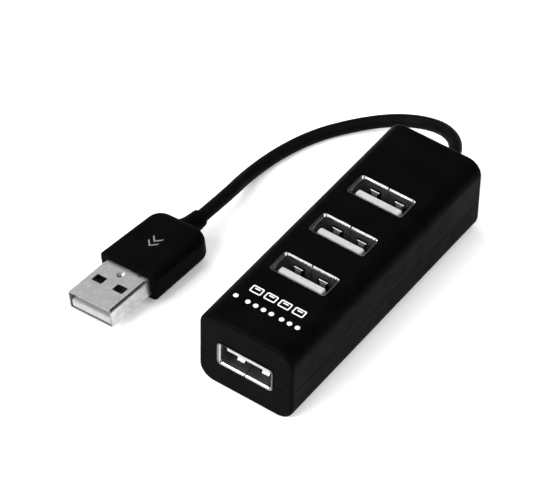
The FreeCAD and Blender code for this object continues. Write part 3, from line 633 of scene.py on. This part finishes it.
def insulator(base_end, setback):
    """The tongue with its softened tip, on a base that fills the socket's back."""
    middle = TONGUE_FACE - TONGUE_T / 2
    rings = []
    for inset, z in [(0.0, BASE_TOP - 0.5)] + [(inset, -setback - behind) for inset, behind in TONGUE_TIP]:
        ring = outline(TONGUE_W - 2 * inset, TONGUE_T - 2 * inset, 0.5 - inset, 6)
        rings.append(upright(moved(ring, 0, middle), z))
    tongue = skin("tongue", rings)
    for x in CONTACT_X:
        combine(tongue, block(x - SLOT_W / 2, x + SLOT_W / 2, TONGUE_FACE - SLOT_DEPTH, 1,
                              BASE_TOP - PAST, SLOT_FRONT))
    base_ring = outline(SOCKET_W - 0.1, SOCKET_H - 0.1, SOCKET_R)
    base = skin("base", [upright(base_ring, z) for z in (-base_end, BASE_TOP)])
    return join("insulator", [base, tongue])


def smooth_line(points, steps=6):
    """A rounder line through a strip's corners: quadratic curves between the runs' middles."""
    middles = [tuple((a + b) / 2 for a, b in zip(p, q)) for p, q in zip(points, points[1:])]
    line = [points[0]]
    for start, corner, end in zip(middles, points[1:-1], middles[1:]):
        for i in range(steps + 1):
            t = i / steps
            line.append(tuple((1 - t) ** 2 * a + 2 * t * (1 - t) * b + t * t * c
                              for a, b, c in zip(start, corner, end)))
    return line + [points[-1]]


def strip(line, x, root, tip):
    """A bent spring finger along a (y, z) line, with its width at each end: most of it is near the root's."""
    rings = []
    for i, (y, z) in enumerate(line):
        before = line[max(i - 1, 0)]
        after = line[min(i + 1, len(line) - 1)]
        run = Vector((after[0] - before[0], after[1] - before[1])).normalized()
        out = Vector((run[1], -run[0])) * SPRING_T
        half = (root + (tip - root) * (i / (len(line) - 1)) ** 4) / 2
        rings.append([(x - half, y, z), (x + half, y, z), (x + half, y + out[0], z + out[1]),
                      (x - half, y + out[0], z + out[1])])
    return skin("strip", rings)


def spring_clip(bend, finger):
    """Two fingers that rise through the windows, on one cross strip: bend is the upper part of their line."""
    cross = block(-CLIP_W / 2, CLIP_W / 2, SPRING_OUT - SPRING_T / 2, SPRING_OUT + SPRING_T / 2, *CLIP_Z)
    line = smooth_line(FINGER_ROOT + bend)
    return join("spring", [cross] + [strip(line, x, *finger) for x in SPRING_X])


def in_throat(x, y, z):
    """Inside of the sleeve, behind its lead-in: the steel there is painted darker as painted shade."""
    return abs(x) < SOCKET_W / 2 + 0.1 and abs(y) < SOCKET_H / 2 + 0.1 and z < -THROAT + 0.01


def on_rim(x, y, z):
    """The outer part of the flare, which is painted darker as painted shade."""
    return abs(x) > SOCKET_W / 2 + RIM * FLARE_X or abs(y) > SOCKET_H / 2 + RIM * FLARE_Y


def on_tip(x, y, z):
    """The last bend of a spring finger, which is painted darker as painted shade."""
    return z > TIP_Z


def make_sockets():
    turn_to_end = Matrix.Rotation(math.pi, 4, Vector((0, 1, -1)))
    for number in range(1, 5):
        low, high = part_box("port_%d_shell" % number)
        if number < 4:
            kind = TOP_SOCKET
            place = Matrix.Translation(((low.x + high.x) / 2, (low.y + high.y) / 2, high.z))
        else:
            kind = END_SOCKET
            place = Matrix.Translation(((low.x + high.x) / 2, low.y, END_SOCKET_Z * MM)) @ turn_to_end
        prefix = "port_%d_" % number
        spring = spring_clip(kind["bend"], kind["finger"])
        shell = socket_shell(kind["depth"], kind["lip"], kind["window"])
        settle(shell, prefix + "receptacle", "hub", "socket_steel", [prefix + "shell"], place, bevel=0.03)
        # painted shade: darker steel inside the sleeve
        refinish(shell, "socket_inside_painted_shade", in_throat, place)
        # painted shade: darker metal on the flare's outer part
        refinish(shell, "socket_rim_painted_shade", on_rim, place)
        settle(insulator(kind["base_end"], kind["setback"]), prefix + "tongue", "hub", "white_insulator",
               [prefix + "insulator"], place, bevel=0.04)
        settle(spring, prefix + "leaf_spring", "spring_clip_%d" % number, "spring_steel",
               [prefix + "spring"], place, bevel=0.03)
        if kind is TOP_SOCKET:
            # painted shade: darker metal on the fingers' last bend
            refinish(spring, "socket_rim_painted_shade", on_tip, place)


make_sockets()


# ---------------------------------------------------------------- plug
# Drawn with the middle of the shell's mouth at the origin and the lead towards +Y.

PLUG_PLACE = (Matrix.Translation(Vector((-38.3, -36.95, 4.35)) * MM)
              @ Matrix.Rotation(math.radians(-4), 4, "Z") @ Matrix.Rotation(math.radians(-8), 4, "Y"))
PLUG_W = 12.0
PLUG_H = 4.5
PLUG_R = 0.55
PLUG_BARE = 12.3
PLUG_BURIED = 6.0
SHEET = 0.3
CUT_LIP = 0.03                  # the cut front edge's tiny rounding
PLUG_WINDOWS = ((-2.9, 5.5, 7.6), (2.9, 5.5, 7.6))      # (middle x, front, back)
PLUG_WINDOW_W = 2.8
TAB_Y = 10.1                    # round tab pressed in behind the windows
TAB_R = 0.93
TAB_HOLE_R = 0.95
TAB_T = 0.12
TAB_DIP = 0.16                  # slope towards its back edge
TAB_SAG = 0.2
TAB_AREA = (1.1, 9.0, 11.3)     # the part of the shell that it takes up: half width, front, back
FOLD_X = (5.46, 5.82)           # the open fold along the right-hand top edge
FOLD_Y = (0.35, 11.2)
FOLD_Z = 1.97
NOSE_END = 3.2                  # the insulating block is painted dark from here back, as painted shade
NOSE = ((0.6, 0.14), (0.36, 0.2), (0.17, 0.33), (0.05, 0.52), (0.0, 0.8))   # (inset, y) of its rounding
BLOCK_W = 11.3
BLOCK_T = 1.95
BLOCK_Z = -1.0                  # its middle height
BLOCK_END = PLUG_BARE + 5
BLADE_SLOT_FRONT = 1.8
BLADE_SLOT_FLOOR = -0.18
SHOULDER = (-5.6, 5.6, PLUG_BARE - 0.4, BLOCK_END, -0.3, 1.9)   # its full-height part, under the grip
GRIP_W = 15.3
GRIP_H = 7.2
GRIP_R = 2.3
GRIP_L = 18.0
GRIP_BACK_R = 3.2
GRIP_FRONT_W = 15.6             # the crisp front is a little wider and lower than the rest
GRIP_FRONT_H = 7.08
GRIP_FRONT_R = 1.6
GRIP_FRONT_SHIFT = (-0.15, 0.06)
GRIP_FRONT_EDGE = 0.45
BOOT_L = 5.4
BOOT = [(2.8, -0.4), (2.8, 0.25), (2.72, 0.55), (2.5, 1.2), (2.32, 2.0), (2.2, 2.9), (2.12, 3.8),
        (2.06, 4.7), (1.99, 5.1), (1.84, 5.33), (1.68, BOOT_L)]


def in_plug(x, y, z):
    """Inside the plug's shell, but not on the pressed tab: painted darker there as painted shade."""
    tab = abs(x) < TAB_AREA[0] and TAB_AREA[1] < y < TAB_AREA[2] and z > 0
    return abs(x) < PLUG_W / 2 - 0.2 and abs(z) < PLUG_H / 2 - 0.2 and not tab


def on_lip(x, y, z):
    """The cut front edge of the shell: bare cut steel, also painted darker as painted shade."""
    return y < CUT_LIP - 0.01


def behind_nose(x, y, z):
    """The part of the insulating block that shows only through the windows, painted dark as painted shade."""
    return y > NOSE_END


def in_fold(x, y, z):
    """The walls of the slot along the fold, painted near black as painted shadow."""
    near = 0.02
    across = FOLD_X[0] - near < x < FOLD_X[1] + near
    along = FOLD_Y[0] - near < y < FOLD_Y[1] + near
    return across and along and FOLD_Z - near < z < PLUG_H / 2 - near


def plug_ring(grow, y):
    return facing_y(outline(PLUG_W + 2 * grow, PLUG_H + 2 * grow, PLUG_R + grow, 6), y)


def plug_shell():
    """Folded sheet: cut front lips, four windows, a pressed tab and the fold's edge."""
    length = PLUG_BARE + PLUG_BURIED
    section = [(-SHEET, length), (-SHEET, CUT_LIP), (CUT_LIP - SHEET, 0.0), (-CUT_LIP, 0.0), (0.0, CUT_LIP),
               (0.0, length)]
    shell = skin("shell", [plug_ring(grow, y) for grow, y in section], hollow=True)
    for x, front, back in PLUG_WINDOWS:
        combine(shell, block(x - PLUG_WINDOW_W / 2, x + PLUG_WINDOW_W / 2, front, back, -3, 3, 0.18))
    hole = moved(circle(TAB_HOLE_R), 0, TAB_Y)
    combine(shell, skin("hole", [upright(hole, z) for z in (1.6, 3)]))
    combine(shell, block(*FOLD_X, *FOLD_Y, FOLD_Z, 2.6))
    return join("shell", [shell, pressed_tab()])


def pressed_tab():
    """The round tab that is pushed in behind the windows: a shallow dish, lowest at its back edge."""
    rings = []
    for under in (0, 1):
        shares = (1.0, 0.93, 0.8, 0.6, 0.35, 0.1)
        for share in shares[::-1] if under else shares:
            top = PLUG_H / 2 - 0.01 - TAB_SAG * (1 - share ** 2) - TAB_T * under
            rings.append([(x * share, y * share + TAB_Y, top - TAB_DIP * (y + TAB_HOLE_R))
                          for x, y in circle(TAB_R)])
    return skin("tab", rings, hollow=True)


def plug_insulator():
    """The block behind the mouth: a rounded nose in the lower half, and the full height under the grip."""
    rings = []
    for inset, y in NOSE + ((0.0, NOSE_END), (0.0, BLOCK_END)):
        section = outline(BLOCK_W - 2 * inset, BLOCK_T - 2 * inset, max(0.3 - inset, 0.05), 4)
        rings.append(facing_y(section, y, BLOCK_Z))
    body = skin("body", rings)
    for x in CONTACT_X:
        combine(body, block(x - SLOT_W / 2, x + SLOT_W / 2, BLADE_SLOT_FRONT, BLOCK_END + PAST,
                            BLADE_SLOT_FLOOR, 1))
    return combine(body, block(*SHOULDER), "UNION")


def plug_grip():
    """Moulded grip: soft long edges, a crisp front face, well-rounded back corners."""
    y0 = PLUG_BARE
    y1 = y0 + GRIP_L
    rings = []
    for i in range(6):
        turn = math.radians(90 * i / 5)
        inset = GRIP_FRONT_EDGE * (1 - math.sin(turn))
        section = outline(GRIP_FRONT_W - 2 * inset, GRIP_FRONT_H - 2 * inset, GRIP_FRONT_R - inset, 10)
        rings.append(facing_y(moved(section, *GRIP_FRONT_SHIFT), y0 + GRIP_FRONT_EDGE * (1 - math.cos(turn))))
    for i in range(13):
        turn = math.radians(90 * i / 12)
        share = 1 - math.cos(turn)
        section = outline(GRIP_W - 2 * GRIP_BACK_R * share, GRIP_H - 2.2 * share, GRIP_R - 0.9 * share, 10)
        rings.append(facing_y(section, y1 - GRIP_BACK_R + GRIP_BACK_R * math.sin(turn)))
    grip = skin("grip", rings)
    pocket_ring = outline(PLUG_W + 0.1, PLUG_H + 0.1, 0.6)
    pocket = skin("pocket", [facing_y(pocket_ring, y) for y in (y0 - PAST, y0 + PLUG_BURIED + 0.1)])
    return combine(grip, pocket)


def turned(profile, y0, steps=40):
    """A body of revolution about Y: (radius, distance along) pairs."""
    return skin("turned", [facing_y(circle(radius, steps), y0 + y) for radius, y in profile])


def make_plug():
    sleeve = settle(plug_shell(), "plug_sleeve", "hub", "plug_steel", ["plug_shell"], PLUG_PLACE)
    # painted shade: darker steel inside the shell
    refinish(sleeve, "plug_inside_painted_shade", in_plug, PLUG_PLACE)
    # the cut front edge: bare steel, partly painted shade
    refinish(sleeve, "cut_edge_and_painted_shade", on_lip, PLUG_PLACE)
    # painted shadow in the fold's slot
    refinish(sleeve, "fold_painted_shadow", in_fold, PLUG_PLACE)
    insulating = settle(plug_insulator(), "plug_block", "hub", "plug_nose", ["plug_insulator"],
                        PLUG_PLACE, bevel=0.04)
    # painted shade: the block is dark behind its nose
    refinish(insulating, "plug_rear_painted_shade", behind_nose, PLUG_PLACE)
    return [
        sleeve,
        insulating,
        settle(plug_grip(), "plug_handle", "hub", "plug_plastic", ["plug_grip"], PLUG_PLACE),
        settle(turned(BOOT, PLUG_BARE + GRIP_L), "plug_strain_relief", "hub", "plug_plastic",
               ["plug_boot"], PLUG_PLACE),
        NODES["plug_contacts"],
    ]


plug_pieces = make_plug()


# The lead's collar, from its flange inside the wall to its tip: (radius, distance out of the wall)
COLLAR = [(1.55, -2.9), (3.6, -2.9), (3.6, -1.65), (2.5, -1.62), (2.5, 0.03), (2.85, 0.04), (2.93, 0.12),
          (2.9, 0.3), (2.62, 0.8), (2.42, 1.25), (2.3, 1.45), (2.1, 1.56), (1.8, 1.6)]
SHEATH_R = 1.5


def make_gland():
    """The moulded collar that the lead leaves through, with its flange inside the wall."""
    wall = HUB_L / 2
    gland = turned(COLLAR, wall)
    gland.data.transform(Matrix.Translation((0, 0, SEAM * MM)))
    bore = skin("bore", [facing_y(circle(SHEATH_R), y, SEAM) for y in (wall - 4, wall)])
    combine(gland, bore)
    return settle(gland, "lead_collar", "hub", "cord_jacket", ["cable_gland"])


gland = make_gland()


# ---------------------------------------------------------------- printed marks

SUNK = 0.01                     # a mark starts just under the surface and stands a hair above it
RAISED = 0.02
FRAMES = (4, 3.5, -23.7)        # how many, their spacing and their y
FRAME_SIZE = (2.8, 2.0)
FRAME_STROKE = 0.3
TONGUE_MARK = (1.3, 0.34)
DOT_ROWS = ((-7.9, 1), (-4.9, 4), (3.5, 3))     # (first x, how many)
DOT_R = 0.56
DOT_STEP = 1.95
DOT_Y = -27.4
CHEVRON_Y = (20.1, 21.7)
CHEVRON_HALF = 1.35
CHEVRON_RISE = 1.3
CHEVRON_STROKE = 0.5


def plate(points, surface, hole=None):
    """A flat printed shape on a surface at that height, or a ring if it has a hole of as many points."""
    low = surface - SUNK
    high = surface + RAISED
    if hole:
        return skin("print", [upright(points, low), upright(points, high), upright(hole, high),
                              upright(hole, low)], hollow=True)
    return skin("print", [upright(points, low), upright(points, high)])


def small_frame(x, y):
    """A rounded rectangle drawn as a line."""
    width, height = FRAME_SIZE
    outer = moved(outline(width, height, 0.35, 4), x, y)
    inner = moved(outline(width - 2 * FRAME_STROKE, height - 2 * FRAME_STROKE, 0.12, 4), x, y)
    return plate(outer, HUB_H, inner)


def top_print():
    """Four sockets over a row of dots: a plain pictogram of what the hub does."""
    marks = []
    count, spacing, y = FRAMES
    for i in range(count):
        x = (i - (count - 1) / 2) * spacing
        marks.append(small_frame(x, y))
        marks.append(plate(moved(outline(*TONGUE_MARK, 0.1, 4), x, y + 0.3), HUB_H))
    for start, count in DOT_ROWS:
        for i in range(count):
            marks.append(plate(moved(circle(DOT_R, 24), start + DOT_STEP * i, DOT_Y), HUB_H))
    return join("marks", marks)


def grip_print():
    """Two chevrons that point the way the plug goes in."""
    marks = []
    for y in CHEVRON_Y:
        for side in (-1, 1):
            tip = (0, y - 0.85)
            end = (side * CHEVRON_HALF, tip[1] + CHEVRON_RISE)
            points = [tip, (tip[0], tip[1] + CHEVRON_STROKE), (end[0], end[1] + CHEVRON_STROKE), end]
            marks.append(plate(points, GRIP_H / 2))
    return join("marks", marks)


settle(top_print(), "top_pictogram", "hub", "print_white")
settle(grip_print(), "grip_pictogram", "hub", "print_grey", place=PLUG_PLACE)


# ---------------------------------------------------------------- the lead's own piece

cord.data.materials.clear()
cord.data.materials.append(FINISH["cord_jacket"])


# ---------------------------------------------------------------- studio

def make_floor():
    data = bpy.data.meshes.new("floor")
    half = 6
    corners = [(-half, -half, 0), (half, -half, 0), (half, half, 0), (-half, half, 0)]
    data.from_pydata(corners, [], [(0, 1, 2, 3)])
    floor = bpy.data.objects.new("floor", data)
    bpy.context.scene.collection.objects.link(floor)
    m = Nodes("floor_paper", grey(0.9), 0.7, specular=0.2)
    m.shader.inputs["Emission Color"].default_value = (1, 1, 1, 1)
    m.shader.inputs["Emission Strength"].default_value = 0.2
    m.colours(m.noise(0.2, detail=2), [(0.3, grey(0.895)), (0.7, grey(0.905))])
    data.materials.append(m.material)


def softbox(name, place, aim, size, power):
    data = bpy.data.lights.new(name, "AREA")
    data.shape = "RECTANGLE"
    data.size, data.size_y = size
    data.energy = power
    light = bpy.data.objects.new(name, data)
    bpy.context.scene.collection.objects.link(light)
    light.location = place
    light.rotation_euler = (Vector(aim) - Vector(place)).to_track_quat("-Z", "Y").to_euler()


def make_world(low, high):
    """Even light that is brighter towards the horizon than overhead."""
    world = bpy.data.worlds.new("studio")
    world.use_nodes = True
    tree = world.node_tree
    background = tree.nodes["Background"]
    coordinates = tree.nodes.new("ShaderNodeTexCoord")
    split = tree.nodes.new("ShaderNodeSeparateXYZ")
    ramp = tree.nodes.new("ShaderNodeMapRange")
    ramp.inputs["From Min"].default_value = 0.0
    ramp.inputs["From Max"].default_value = 0.7
    ramp.inputs["To Min"].default_value = low
    ramp.inputs["To Max"].default_value = high
    tree.links.new(coordinates.outputs["Generated"], split.inputs["Vector"])
    tree.links.new(split.outputs["Z"], ramp.inputs["Value"])
    tree.links.new(ramp.outputs["Result"], background.inputs["Strength"])
    background.inputs["Color"].default_value = (1, 1, 1, 1)
    bpy.context.scene.world = world


make_floor()
make_world(0.16, 0.1)
softbox("key", (-0.35, -0.85, 0.65), (0, 0, 0), (0.7, 0.7), 17)
softbox("side", (0.8, -0.15, 0.8), (0, 0, 0), (0.8, 0.8), 8)
softbox("left", (-0.85, 0.1, 0.8), (0, 0, 0), (0.6, 0.6), 8)
softbox("top", (0.05, -0.1, 1.2), (0, 0, 0), (0.9, 0.9), 5)
softbox("back", (-0.45, 0.6, 0.7), (0, 0, 0), (0.8, 0.6), 0.9)
bpy.context.scene.view_settings.view_transform = "Standard"
